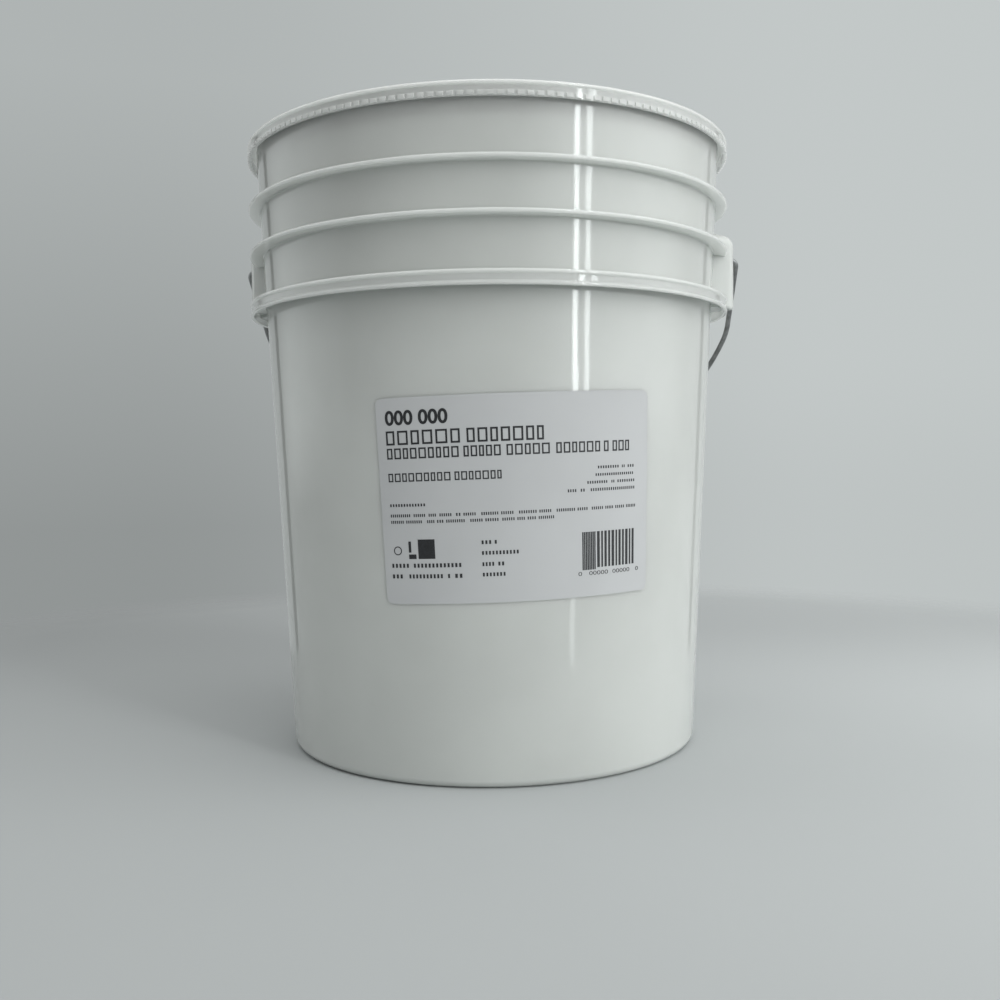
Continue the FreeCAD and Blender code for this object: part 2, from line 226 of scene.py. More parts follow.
class LabelSettings(bpy.types.PropertyGroup):
    """Sizes and colours of the label."""

    width: length_setting("Width", "Along the wall", 155.0 * MM)
    height: length_setting("Height", "Height of the label", 111.0 * MM)
    centre_height: length_setting("Centre height", "Label's middle above the floor", 158.2 * MM)
    corner: length_setting("Corner", "Rounding of the corners", 4.0 * MM)
    thickness: length_setting("Thickness", "Thickness of the label stock", 0.2 * MM)
    azimuth: angle_setting("Azimuth", "Label's middle, from -Y towards +X", 11.1)
    tilt: angle_setting("Tilt", "Right end higher", 1.5)
    stock_colour: colour_setting("Stock", "Colour of the label stock", (0.490, 0.508, 0.513))
    ink_colour: colour_setting("Ink", "Colour of the print", (0.012, 0.013, 0.015))


class BailSettings(bpy.types.PropertyGroup):
    """Sizes and colours of the bail and its grip."""

    wire_radius: length_setting("Wire radius", "Radius of the steel wire", 1.65 * MM)
    ear_gap: length_setting("Ear gap", "Between the ear's nose and the bail's leg", 0.55 * MM)
    seat_depth: length_setting("Seat depth", "How far the wire reaches into the ear", 12.5 * MM)
    knuckle_radius: length_setting("Knuckle", "Bend from the pivot end to the leg", 5.5 * MM)
    leg_length: length_setting("Leg", "From the pivot to the shoulder", 54.0 * MM)
    shoulder_radius: length_setting("Shoulder", "Radius of the shoulder's bend", 68.0 * MM)
    shoulder_turn: angle_setting("Shoulder turn", "How far the shoulder turns", 14.0)
    corner_start: angle_setting("Corner start", "Turned where the corner arc begins", 50.0)
    half_straight: length_setting("Half straight", "Half of the straight middle", 45.0 * MM)
    height: length_setting("Height", "From the pivot axis to the grip", 194.9 * MM)
    hang_angle: angle_setting("Hang", "Below level where it rests", 41.1)
    grip_radius: length_setting("Grip radius", "Radius of the grip's sleeve", 9.5 * MM)
    grip_flange_radius: length_setting("Grip flange", "Radius of the grip's ends", 11.0 * MM)
    grip_flange_width: length_setting("Grip flange width", "Width of the grip's ends", 3.0 * MM)
    grip_end_gap: length_setting("Grip end gap", "Straight wire left beside the grip", 2.0 * MM)
    bore_gap: length_setting("Bore gap", "Between the wire and the grip's bore", 0.1 * MM)
    wire_colour: colour_setting("Wire", "Colour of the dull steel wire", (0.26, 0.265, 0.265))
    grip_colour: colour_setting("Grip", "Colour of the grip's plastic", (0.568, 0.592, 0.572))
    grip_roughness: share_setting("Grip roughness", "Roughness of the grip's plastic", 0.3)


class StageSettings(bpy.types.PropertyGroup):
    """The camera, floor and light."""

    lens_length: FloatProperty(name="Lens", description="Focal length in millimetres", default=38.5)
    floor_colour: colour_setting("Floor", "Colour of the floor near the pail", (0.50, 0.53, 0.53))
    floor_radius: length_setting("Floor radius", "Where the floor turns into backdrop", 0.74)


# -------------------- modelling helpers


def edit_mode():
    bpy.ops.object.mode_set(mode="EDIT")


def object_mode():
    bpy.ops.object.mode_set(mode="OBJECT")


def select_whole_mesh():
    bpy.ops.mesh.select_all(action="SELECT")


def extrude(offset):
    """In edit mode, extrudes what is selected by an offset."""
    bpy.ops.mesh.extrude_region_move(TRANSFORM_OT_translate={"value": offset})


def deselect_all():
    """Leaves no object selected, so that an operator acts on its own piece alone."""
    if bpy.context.object and bpy.context.object.mode == "EDIT":
        object_mode()
    bpy.ops.object.select_all(action="DESELECT")


def named(name):
    """Names the primitive that was just added."""
    piece = bpy.context.object
    piece.name = name
    piece.data.name = name
    return piece


def make_active(piece):
    """Selects this piece alone and makes it the active one."""
    deselect_all()
    piece.select_set(True)
    bpy.context.view_layer.objects.active = piece


def pick(kind, chosen):
    """In edit mode, selects the vertices, edges or faces that chosen(element) accepts."""
    bpy.ops.mesh.select_mode(type=kind)
    bpy.ops.mesh.select_all(action="DESELECT")
    mesh = bmesh.from_edit_mesh(bpy.context.object.data)
    elements = {"VERT": mesh.verts, "EDGE": mesh.edges, "FACE": mesh.faces}[kind]
    for element in elements:
        if chosen(element):
            element.select_set(True)
    bmesh.update_edit_mesh(bpy.context.object.data)


def apply_place(piece):
    """Puts the object's place into its mesh and leaves its object at the origin."""
    make_active(piece)
    bpy.ops.object.transform_apply(location=True, rotation=True, scale=True)


def apply_modifier(piece, kind, **values):
    """Adds one modifier with these values and applies it."""
    make_active(piece)
    modifier = piece.modifiers.new(kind.lower(), kind)
    for key, value in values.items():
        setattr(modifier, key, value)
    bpy.ops.object.modifier_apply(modifier=modifier.name)


def tidy_surface(piece, smooth_degrees=None):
    """Merges doubled points, turns all faces outwards and, given an angle, smooths up to it."""
    doubled_within = 0.002 * MM
    make_active(piece)
    edit_mode()
    select_whole_mesh()
    bpy.ops.mesh.remove_doubles(threshold=doubled_within)
    bpy.ops.mesh.normals_make_consistent(inside=False)
    object_mode()
    if smooth_degrees:
        bpy.ops.object.shade_smooth_by_angle(angle=math.radians(smooth_degrees))
        apply_modifier(piece, "WEIGHTED_NORMAL", keep_sharp=True)


def join(name, pieces):
    """Joins pieces into one mesh with one name."""
    deselect_all()
    for piece in pieces:
        piece.select_set(True)
    bpy.context.view_layer.objects.active = pieces[0]
    bpy.ops.object.join()
    return named(name)


def turned_body(name, outline, segments):
    """Extrudes and resizes a circle through (radius, height, rounding) and rounds the corners.

    The first and last radius are closed by flat faces."""
    deselect_all()
    radius, height, _ = outline[0]
    bpy.ops.mesh.primitive_circle_add(
        vertices=segments, radius=radius, location=(0, 0, height), fill_type="NGON"
    )
    piece = named(name)
    apply_place(piece)
    edit_mode()
    bpy.ops.mesh.select_mode(type="FACE")
    select_whole_mesh()
    for next_radius, next_height, _ in outline[1:]:
        extrude((0, 0, next_height - height))
        scale = next_radius / radius
        bpy.ops.transform.resize(value=(scale, scale, 1), center_override=(0, 0, next_height))
        radius, height = next_radius, next_height
    select_whole_mesh()
    bpy.ops.mesh.normals_make_consistent(inside=False)
    for corner_radius, corner_height, rounding in outline:
        if rounding > 0:
            round_loop(corner_radius, corner_height, rounding)
    object_mode()
    return piece


def round_loop(radius, height, rounding):
    """Bevels the level circle of edges at a radius and height."""

    def on_loop(edge):
        return all(
            abs(math.hypot(v.co.x, v.co.y) - radius) < TOLERANCE
            and abs(v.co.z - height) < TOLERANCE
            for v in edge.verts
        )

    pick("EDGE", on_loop)
    bpy.ops.mesh.bevel(offset=rounding, segments=4, affect="EDGES")


def finish_piece(piece, body, node, material):
    """Gives a piece its material and its body, and hides the CAD node it stands for."""
    piece.data.materials.clear()
    piece.data.materials.append(material)
    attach(piece, body)
    if node:
        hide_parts(node)


# -------------------- materials


class Nodes:
    """Adds shader nodes to one node tree."""

    def __init__(self, tree):
        self.tree = tree

    def add(self, kind, inputs=None, **settings):
        """Adds a node. An input's value is a number, a colour or another node's socket."""
        node = self.tree.nodes.new("ShaderNode" + kind)
        for key, value in settings.items():
            setattr(node, key, value)
        for key, value in (inputs or {}).items():
            if isinstance(value, bpy.types.NodeSocket):
                self.tree.links.new(value, node.inputs[key])
            else:
                node.inputs[key].default_value = value
        return node

    def maths(self, operation, *values):
        return self.add("Math", dict(enumerate(values)), operation=operation).outputs[0]

    def mix(self, share, first, second):
        return self.add("Mix", {0: share, 2: first, 3: second}).outputs[0]

    def turned_with_camera(self, vector):
        """A place or direction as seen from axes that are turned with the camera."""
        values = {"Vector": vector, "Angle": -STUDIO_TURN}
        return self.add("VectorRotate", values, rotation_type="Z_AXIS").outputs[0]

    def noise(self, vector, scale, detail=2.0, roughness=0.5):
        values = {"Vector": vector, "Scale": scale, "Detail": detail, "Roughness": roughness}
        return self.add("TexNoise", values).outputs["Fac"]

    def between(self, value, low, high, to_low=0.0, to_high=1.0, smooth=True):
        """Maps a value from one range to another, clamped."""
        values = {"Value": value, "From Min": low, "From Max": high}
        values.update({"To Min": to_low, "To Max": to_high})
        kind = "SMOOTHSTEP" if smooth else "LINEAR"
        return self.add("MapRange", values, interpolation_type=kind).outputs["Result"]

    def mix_colour(self, share, first, second):
        values = {0: share, 6: first, 7: second}
        return self.add("Mix", values, data_type="RGBA").outputs[2]

    def clouded(self, noise, colour, darker, lighter, low=0.3):
        """A colour that drifts with a noise between a darker and a lighter share of itself."""
        share = self.between(noise, low, 0.7)
        return self.mix_colour(share, rgba(colour, darker), rgba(colour, lighter))

    def bump(self, height, distance, normal=None):
        values = {"Height": height, "Distance": distance, "Strength": 1.0}
        if normal:
            values["Normal"] = normal
        return self.add("Bump", values).outputs["Normal"]


def new_material(name):
    """A material with its nodes, its Principled shader and the object's own coordinates."""
    material = bpy.data.materials.new(name)
    material.use_nodes = True
    nodes = Nodes(material.node_tree)
    shader = material.node_tree.nodes["Principled BSDF"]
    place = nodes.add("TexCoord").outputs["Object"]
    return material, nodes, shader, place


def plug_in(nodes, shader, colour, roughness, normal=None):
    """Links a pattern's colour, roughness and bump to a Principled shader."""
    nodes.tree.links.new(colour, shader.inputs["Base Color"])
    nodes.tree.links.new(roughness, shader.inputs["Roughness"])
    if normal:
        nodes.tree.links.new(normal, shader.inputs["Normal"])


def rgba(colour, scale=1.0):
    """A colour, made darker or lighter, with the fourth value that a socket takes."""
    return (colour[0] * scale, colour[1] * scale, colour[2] * scale, 1.0)


def moulded_plastic(name, colour, roughness):
    """Glossy natural polyethylene: cloudy colour, slow ripples and a fine moulded skin."""
    material, nodes, shader, place = new_material(name)
    tint = nodes.clouded(nodes.noise(place, 14.0, 3.0), colour, 0.965, 1.02)
    stretched = nodes.add("Mapping", {"Vector": place, "Scale": (1.0, 1.0, 0.35)}).outputs[0]
    ripple = nodes.noise(stretched, 55.0, 1.0)
    skin = nodes.noise(place, 900.0, 2.0)
    scuff = nodes.noise(place, 40.0, 4.0, 0.65)
    gloss = nodes.between(scuff, 0.35, 0.75, roughness * 0.85, roughness * 1.35)
    slow = nodes.bump(ripple, 0.09 * MM)
    plug_in(nodes, shader, tint, gloss, nodes.bump(skin, 0.004 * MM, normal=slow))
    shader.inputs["IOR"].default_value = 1.5
    shader.inputs["Subsurface Weight"].default_value = 1.0
    shader.inputs["Subsurface Radius"].default_value = (1.0, 1.0, 1.0)
    shader.inputs["Subsurface Scale"].default_value = 9.0 * MM
    return material


def label_stock(name, colour):
    """Matt coated label stock with a faint fibre and slow waves where it is stuck down."""
    material, nodes, shader, place = new_material(name)
    fibre = nodes.noise(place, 700.0, 4.0, 0.6)
    cloud = nodes.noise(place, 25.0, 2.0)
    tint = nodes.clouded(cloud, colour, 0.98, 1.015)
    dullness = nodes.between(fibre, 0.3, 0.7, 0.5, 0.62)
    slow = nodes.bump(cloud, 0.12 * MM)
    plug_in(nodes, shader, tint, dullness, nodes.bump(fibre, 0.006 * MM, normal=slow))
    shader.inputs["IOR"].default_value = 1.3
    return material


def thermal_ink(name, colour):
    """Dark print that is a little uneven."""
    material, nodes, shader, place = new_material(name)
    speckle = nodes.noise(place, 900.0, 2.0)
    tint = nodes.clouded(speckle, colour, 0.8, 1.6, low=0.35)
    plug_in(nodes, shader, tint, nodes.between(speckle, 0.3, 0.7, 0.45, 0.6))
    return material


def drawn_wire(name, colour):
    """Dull drawn steel wire with a fine grain and cloudy zinc."""
    material, nodes, shader, place = new_material(name)
    cloud = nodes.noise(place, 180.0, 3.0, 0.6)
    grain = nodes.noise(place, 1500.0, 2.0)
    tint = nodes.clouded(cloud, colour, 0.75, 1.3)
    dullness = nodes.between(cloud, 0.3, 0.7, 0.38, 0.55)
    plug_in(nodes, shader, tint, dullness, nodes.bump(grain, 0.02 * MM))
    shader.inputs["Metallic"].default_value = 1.0
    return material


# -------------------- pail


def wall_radius(settings, height):
    """Outer radius of the tapered wall at a height."""
    slope = (settings.mouth_radius - settings.foot_radius) / LID_HIGH.z
    return settings.foot_radius + slope * height


def pail_outline(settings):
    """(radius, height, rounding) from the middle of the bottom up to the filling under the lid."""
    top = LID_HIGH.z
    groove_depth = 1.6 * MM
    groove_inner = 109.5 * MM
    groove_outer = 114.5 * MM
    edge = 0.8 * MM
    outline = [
        (groove_inner, 0, edge),
        (groove_inner, groove_depth, 0),
        (groove_outer, groove_depth, 0),
        (groove_outer, 0, edge),
        (settings.foot_radius, 0, settings.foot_corner),
    ]
    collar_top = top - settings.collar_drop
    collar_bottom = collar_top - settings.collar_height
    ceiling = collar_top - settings.collar_thickness
    skirt_inner = FLANGE_RADIUS - settings.collar_thickness
    bead = 1.6 * MM
    dish = 0.85 * MM
    soft = 0.3 * MM

    def on_wall(height):
        return wall_radius(settings, height), height, settings.root_rounding

    outline += [
        on_wall(ceiling),
        (skirt_inner, ceiling, settings.root_rounding),
        (skirt_inner, collar_bottom, edge),
        (FLANGE_RADIUS, collar_bottom, edge),
        (FLANGE_RADIUS, collar_bottom + bead, soft),
        (FLANGE_RADIUS - dish, collar_bottom + bead + dish, soft),
        (FLANGE_RADIUS - dish, collar_top - bead - dish, soft),
        (FLANGE_RADIUS, collar_top - bead, soft),
        (FLANGE_RADIUS, collar_top, edge),
        on_wall(collar_top),
    ]
    for drop in (settings.second_ring_drop, settings.first_ring_drop):
        ring_top = top - drop
        ring_bottom = ring_top - settings.ring_thickness
        tip = settings.ring_thickness * 0.45
        outline += [
            on_wall(ring_bottom),
            (FLANGE_RADIUS, ring_bottom, tip),
            (FLANGE_RADIUS, ring_top, tip),
            on_wall(ring_top),
        ]
    rim_inner = settings.mouth_radius - RIM_WALL
    filling = LID_LOW.z
    outline += [
        (wall_radius(settings, PAIL_HIGH.z), PAIL_HIGH.z, 0),
        (rim_inner, PAIL_HIGH.z, 0),
        (rim_inner, filling, 0),
    ]
    return outline


def make_ear(settings):
    """One ear on the +X side: a boss with a round nose, spread flanks and a rounded top."""
    deselect_all()
    nose = settings.ear_nose_radius
    half = settings.ear_root_half_width
    top = PIVOT_HEIGHT + settings.ear_rise
    bottom = PIVOT_HEIGHT - settings.ear_drop
    centre = EAR_NOSE - nose
    depth_in_wall = 2.4 * MM
    bottom_round = 1.5 * MM
    root = math.sqrt(wall_radius(settings, bottom) ** 2 - half ** 2) - depth_in_wall
    span = math.hypot(root - centre, half)
    touch = centre + nose * math.cos(math.atan2(half, root - centre) - math.acos(nose / span))
    bpy.ops.mesh.primitive_cylinder_add(
        vertices=96, radius=nose, depth=top - bottom, location=(centre, 0, (top + bottom) / 2)
    )
    ear = named("ear")
    apply_place(ear)
    edit_mode()
    pick("VERT", lambda v: v.co.x < touch - TOLERANCE)
    bpy.ops.transform.resize(value=(0, half / nose, 1), center_override=(root, 0, 0))

    def level_rim(edge, height):
        level = all(abs(v.co.z - height) < TOLERANCE for v in edge.verts)
        return level and max(v.co.x for v in edge.verts) > root + TOLERANCE

    pick("EDGE", lambda edge: level_rim(edge, top))
    bpy.ops.mesh.bevel(offset=settings.ear_top_round, segments=8, affect="EDGES")
    pick("EDGE", lambda edge: level_rim(edge, bottom))
    bpy.ops.mesh.bevel(offset=bottom_round, segments=4, affect="EDGES")
    object_mode()
    tidy_surface(ear)
    return ear


def make_pivot_cutter(settings):
    """The blind hole in the +X ear with its flared mouth."""
    deselect_all()
    radius = settings.pivot_hole_radius
    hole_depth = 13.5 * MM
    flare_depth = 3.0 * MM
    flare = 2.4 * MM
    reach = 3.0 * MM
    bottom = EAR_NOSE - hole_depth
    bpy.ops.mesh.primitive_cylinder_add(
        vertices=40, radius=radius, depth=TOLERANCE, location=(bottom, 0, PIVOT_HEIGHT),
        rotation=(0, QUARTER_TURN, 0),
    )
    cutter = named("pivot_cutter")
    apply_place(cutter)
    edit_mode()
    pick("FACE", lambda face: face.normal.x > 0.9)
    mouth_start = EAR_NOSE - flare_depth
    bpy.ops.transform.translate(value=(mouth_start - bottom, 0, 0))
    extrude((flare_depth + reach, 0, 0))
    scale = 1 + flare * (1 + reach / flare_depth) / radius
    bpy.ops.transform.resize(
        value=(1, scale, scale), center_override=(EAR_NOSE + reach, 0, PIVOT_HEIGHT)
    )
    object_mode()
    tidy_surface(cutter)
    return cutter


def turned_half_way(piece):
    """A copy on the -X side, turned half way round the pail, with its own mesh."""
    make_active(piece)
    bpy.ops.object.duplicate()
    other = bpy.context.object
    other.rotation_euler = (0, 0, math.pi)
    apply_place(other)
    return other


def combine(piece, other, operation):
    """Adds or cuts another solid with an exact boolean, then deletes that solid."""
    apply_modifier(piece, "BOOLEAN", object=other, operation=operation, solver="EXACT")
    bpy.data.objects.remove(other)


class PAIL_OT_build_pail(bpy.types.Operator):
    """Build the pail with its rings, collar and ears"""

    bl_idname = "pail.build_pail"
    bl_label = "Build Pail"

    def execute(self, context):
        settings = context.scene.pail_settings
        pail = turned_body("pail_body", pail_outline(settings), settings.segments)
        tidy_surface(pail)
        ear = make_ear(settings)
        cutter = make_pivot_cutter(settings)
        left_ear = turned_half_way(ear)
        left_cutter = turned_half_way(cutter)
        for side_ear in (ear, left_ear):
            combine(pail, side_ear, "UNION")
        for side_cutter in (cutter, left_cutter):
            combine(pail, side_cutter, "DIFFERENCE")
        tidy_surface(pail, smooth_degrees=32)
        plastic = moulded_plastic(
            "natural_white_plastic", settings.plastic_colour, settings.plastic_roughness
        )
        finish_piece(pail, PAIL_BODY, "pail", plastic)
        return {"FINISHED"}


# -------------------- lid


def lid_outline(settings, pail_settings):
    """(radius, height, rounding) from under the panel, round the skirt, to the panel's top."""
    top = LID_HIGH.z
    skirt_bottom = top - settings.band_height - settings.tooth_height
    skirt_outer = FLANGE_RADIUS - settings.tooth_inset
    skirt_wall = 2.3 * MM
    skirt_inner = FLANGE_RADIUS - skirt_wall
    bead_bottom = top - settings.bead_height
    bead_edge = 0.2 * MM
    top_edge = 1.2 * MM
    tooth_top = skirt_bottom + settings.tooth_height
    tooth_foot = skirt_bottom + TOOTH_FOOT
    plug_outer = pail_settings.mouth_radius - RIM_WALL - PLUG_GAP
    plug_inner = plug_outer - settings.plate
    panel_top = top - settings.recess_depth
    step_top = panel_top + settings.step_height
    step_foot = settings.step_radius + settings.step_height
    step_middle = settings.step_radius * 0.3
    soft = 0.6 * MM
    return [
        (plug_outer, LID_LOW.z, 0),
        (plug_outer, PAIL_HIGH.z, 0),
        (skirt_inner, PAIL_HIGH.z, 0),
        (skirt_inner, skirt_bottom, 0),
        (skirt_outer, skirt_bottom, 0),
        (skirt_outer, tooth_foot, 0),
        (skirt_outer, tooth_top, 0),
        (skirt_outer, bead_bottom - settings.tooth_inset, bead_edge),
        (FLANGE_RADIUS, bead_bottom, bead_edge),
        (FLANGE_RADIUS, top, top_edge),
        (plug_inner, top, settings.rounding),
        (plug_inner, panel_top, settings.rounding),
        (step_foot, panel_top, soft),
        (settings.step_radius, step_top, soft),
        (step_middle, step_top, 0),
    ]


def raise_teeth(lid, settings):
    """Lifts two of every three faces round the skirt's lower edge into a row of teeth."""
    make_active(lid)
    steps = settings.tooth_count * FACES_PER_TOOTH
    tooth_top = LID_HIGH.z - settings.band_height
    tooth_foot = tooth_top - settings.tooth_height + TOOTH_FOOT
    skirt_outer = FLANGE_RADIUS - settings.tooth_inset
    short_of_flange = 0.05 * MM

    def on_tooth(face):
        middle = face.calc_center_median()
        turn = math.atan2(middle.y, middle.x) / (2 * math.pi) % 1.0
        on_skirt = math.hypot(middle.x, middle.y) > skirt_outer - short_of_flange
        in_row = tooth_foot < middle.z < tooth_top
        return on_skirt and in_row and int(turn * steps) % FACES_PER_TOOTH > 0

    edit_mode()
    pick("FACE", on_tooth)
    bpy.ops.mesh.extrude_region_shrink_fatten(
        TRANSFORM_OT_shrink_fatten={"value": settings.tooth_inset - short_of_flange}
    )
    object_mode()


class PAIL_OT_build_lid(bpy.types.Operator):
    """Build the press-on lid with the teeth round its skirt"""

    bl_idname = "pail.build_lid"
    bl_label = "Build Lid"

    def execute(self, context):
        settings = context.scene.lid_settings
        pail_settings = context.scene.pail_settings
        steps = settings.tooth_count * FACES_PER_TOOTH
        lid = turned_body("lid_cover", lid_outline(settings, pail_settings), steps)
        tidy_surface(lid)
        raise_teeth(lid, settings)
        tidy_surface(lid, smooth_degrees=32)
        plastic = moulded_plastic(
            "lid_white_plastic", pail_settings.plastic_colour, pail_settings.plastic_roughness
        )
        finish_piece(lid, PAIL_BODY, "lid", plastic)
        return {"FINISHED"}


# -------------------- label


def make_label_sheet(settings):
    """A flat sheet with rounded corners, lying in the XZ plane in front of the origin."""
    deselect_all()
    bpy.ops.mesh.primitive_plane_add(size=1, rotation=(QUARTER_TURN, 0, 0))
    sheet = named("label_sheet")
    sheet.scale = (settings.width, settings.height, 1)
    apply_place(sheet)
    edit_mode()
    select_whole_mesh()
    bpy.ops.mesh.bevel(offset=settings.corner, segments=6, affect="VERTICES")
    object_mode()
    return sheet


def cut_across(piece, length, count, direction):
    """Bisects a flat piece into strips along one direction so that it can bend smoothly."""
    make_active(piece)
    edit_mode()
    for i in range(1, count):
        place = Vector(direction) * (-length / 2 + length * i / count)
        select_whole_mesh()
        bpy.ops.mesh.bisect(plane_co=place, plane_no=direction)
    object_mode()


def wrap_on_wall(piece, settings, lift, thickness):
    """Bends a flat piece round the pail at the label's place, lifted off the wall."""
    pail_settings = bpy.context.scene.pail_settings
    radius = wall_radius(pail_settings, settings.centre_height)
    strip_width = 3.0 * MM
    rows = 12
    cut_across(piece, settings.width, int(settings.width / strip_width), (1, 0, 0))
    cut_across(piece, settings.height, rows, (0, 0, 1))
    piece.rotation_euler = (0, -settings.tilt, 0)
    apply_place(piece)
    for vertex in piece.data.vertices:
        around = vertex.co.x / radius
        height = vertex.co.z + settings.centre_height
        wall = wall_radius(pail_settings, height) + lift
        angle = settings.azimuth + around
        vertex.co = (wall * math.sin(angle), -wall * math.cos(angle), height)
    apply_modifier(piece, "SOLIDIFY", thickness=thickness, offset=1.0)
    tidy_surface(piece, smooth_degrees=30)


def add_bar(x0, x1, z0, z1):
    """In edit mode, adds one printed bar to the flat print. Sizes in mm from the label's middle."""
    middle = ((x0 + x1) / 2 * MM, 0, (z0 + z1) / 2 * MM)
    bpy.ops.mesh.primitive_plane_add(size=1, location=middle, rotation=(QUARTER_TURN, 0, 0))
    bpy.ops.transform.resize(
        value=((x1 - x0) * MM, 1, (z1 - z0) * MM), center_override=middle
    )


def add_word(x0, x1, z0, z1, count):
    """In edit mode, adds a word's row of letter-sized cells of slowly changing width."""
    shares = [LETTER_WIDTHS[i % len(LETTER_WIDTHS)] for i in range(count)]
    gap_share = 0.26
    gap = gap_share * (x1 - x0) / sum(shares)
    x = x0
    for share in shares:
        width = (x1 - x0 + gap) * share / sum(shares)
        add_bar(x, x + width - gap, z0, z1)
        x += width


def hollow(stroke):
    """In edit mode, turns every face into an outline of one stroke."""
    bpy.ops.mesh.select_mode(type="FACE")
    select_whole_mesh()
    bpy.ops.mesh.inset(thickness=stroke * MM, use_individual=True)
    bpy.ops.mesh.delete(type="FACE")


def flat_print(name):
    """An empty flat print in edit mode."""
    deselect_all()
    bpy.ops.mesh.primitive_plane_add(size=1 * MM)
    prints = named(name)
    edit_mode()
    select_whole_mesh()
    bpy.ops.mesh.delete(type="VERT")
    return prints


def make_outlined_words(stroke, z0, z1, words):
    """One row of large print: an outlined cell in place of every letter."""
    prints = flat_print("words")
    for x0, x1, count in words:
        add_word(x0, x1, z0, z1, count)
    hollow(stroke)
    object_mode()
    return prints


def make_small_rows():
    """The small print: a short upright tick in place of every letter."""
    prints = flat_print("small_rows")
    inked_share = 0.55
    for z, height, pitch, words in SMALL_ROWS:
        for x0, x1 in words:
            count = max(1, round((x1 - x0) / pitch))
            step = (x1 - x0) / count
            for i in range(count):
                x = x0 + i * step
                add_bar(x, x + inked_share * step, z - height / 2, z + height / 2)
    object_mode()
    return prints


def make_bar_code():
    """Plain upright bars, close together at the left, and the dark field with its blocks."""
    prints = flat_print("bar_code")
    top = -20.3
    x = 33.5
    thin_end = 41.0
    thin_bottom = -41.0
    thin_width = 0.8
    thin_pitch = 1.05
    while x < thin_end:
        add_bar(x, x + thin_width, thin_bottom, top)
        x += thin_pitch
    bottom = -40.0
    count = 11
    first_gap = 0.7
    gap = 0.95
    widths = (1.7, 1.1, 1.5, 1.3)
    for i in range(count):
        width = widths[i % len(widths)]
        add_bar(x + first_gap, x + first_gap + width, bottom, top)
        x += width + gap
    for block in BLOCKS:
        add_bar(*block)
    object_mode()
    return prints


def make_ring():
    """A small printed ring."""
    prints = flat_print("ring")
    x, z = RING_MIDDLE
    bpy.ops.mesh.primitive_circle_add(
        vertices=40, radius=RING_RADIUS * MM, fill_type="NGON", location=(x * MM, 0, z * MM),
        rotation=(QUARTER_TURN, 0, 0),
    )
    hollow(RING_STROKE)
    object_mode()
    return prints


def make_figures(figures, weight, x0, x1, z0, z1):
    """Plain zeros made a flat mesh and fitted between two widths and heights."""
    deselect_all()
    bpy.ops.object.text_add()
    text = bpy.context.object
    text.data.body = figures
    text.data.offset = weight
    bpy.ops.object.convert(target="MESH")
    prints = named("figures")
    xs = [v.co.x for v in prints.data.vertices]
    ys = [v.co.y for v in prints.data.vertices]
    across = (x1 - x0) * MM / (max(xs) - min(xs))
    up = (z1 - z0) * MM / (max(ys) - min(ys))
    prints.rotation_euler = (QUARTER_TURN, 0, 0)
    prints.scale = (across, up, 1)
    prints.location = (x0 * MM - min(xs) * across, 0, z0 * MM - min(ys) * up)
    apply_place(prints)
    return prints


def make_print():
    """The flat print: plain zeros, outlined cells and ticks in place of words, and plain bars."""
    parts = [make_figures(*TOP_FIGURES)]
    for row in LARGE_ROWS:
        parts.append(make_outlined_words(*row))
    parts.append(make_small_rows())
    parts.append(make_bar_code())
    parts.append(make_ring())
    parts.append(make_figures(*CODE_FIGURES))
    return join("label_print", parts)


class PAIL_OT_build_label(bpy.types.Operator):
    """Build the label and its print"""

    bl_idname = "pail.build_label"
    bl_label = "Build Label"

    def execute(self, context):
        settings = context.scene.label_settings
        sheet = make_label_sheet(settings)
        wrap_on_wall(sheet, settings, LABEL_LIFT, settings.thickness)
        stock = label_stock("label_stock", settings.stock_colour)
        finish_piece(sheet, PAIL_BODY, "label", stock)
        prints = make_print()
        wrap_on_wall(prints, settings, LABEL_LIFT + settings.thickness, PRINT_THICKNESS)
        ink = thermal_ink("print_ink", settings.ink_colour)
        finish_piece(prints, PAIL_BODY, None, ink)
        return {"FINISHED"}


# -------------------- bail


def bail_radii(settings, side, reached):
    """Main and corner radii that bring each side level at the end of the straight middle."""
    turned = settings.shoulder_turn
    start = settings.corner_start
    across = side - settings.half_straight
    along = settings.height - reached
    a = math.cos(turned) - math.cos(start)
    b = math.cos(start)
    c = math.sin(start) - math.sin(turned)
    d = 1 - math.sin(start)
    determinant = a * d - b * c
    return (across * d - b * along) / determinant, (a * along - across * c) / determinant


def spin_about(centre, turn, steps):
    """Spins the selected end of the wire about a centre in the bail's own plane."""
    bpy.ops.mesh.spin(steps=steps, angle=turn, center=centre, axis=(0, 0, -1))


def hang(piece, settings):
    """Turns a piece from the bail's own plane to where it hangs, on the pivot's height."""
    place = Matrix.Translation((0, 0, PIVOT_HEIGHT))
    piece.matrix_world = place @ Matrix.Rotation(-settings.hang_angle, 4, "X")
    apply_place(piece)


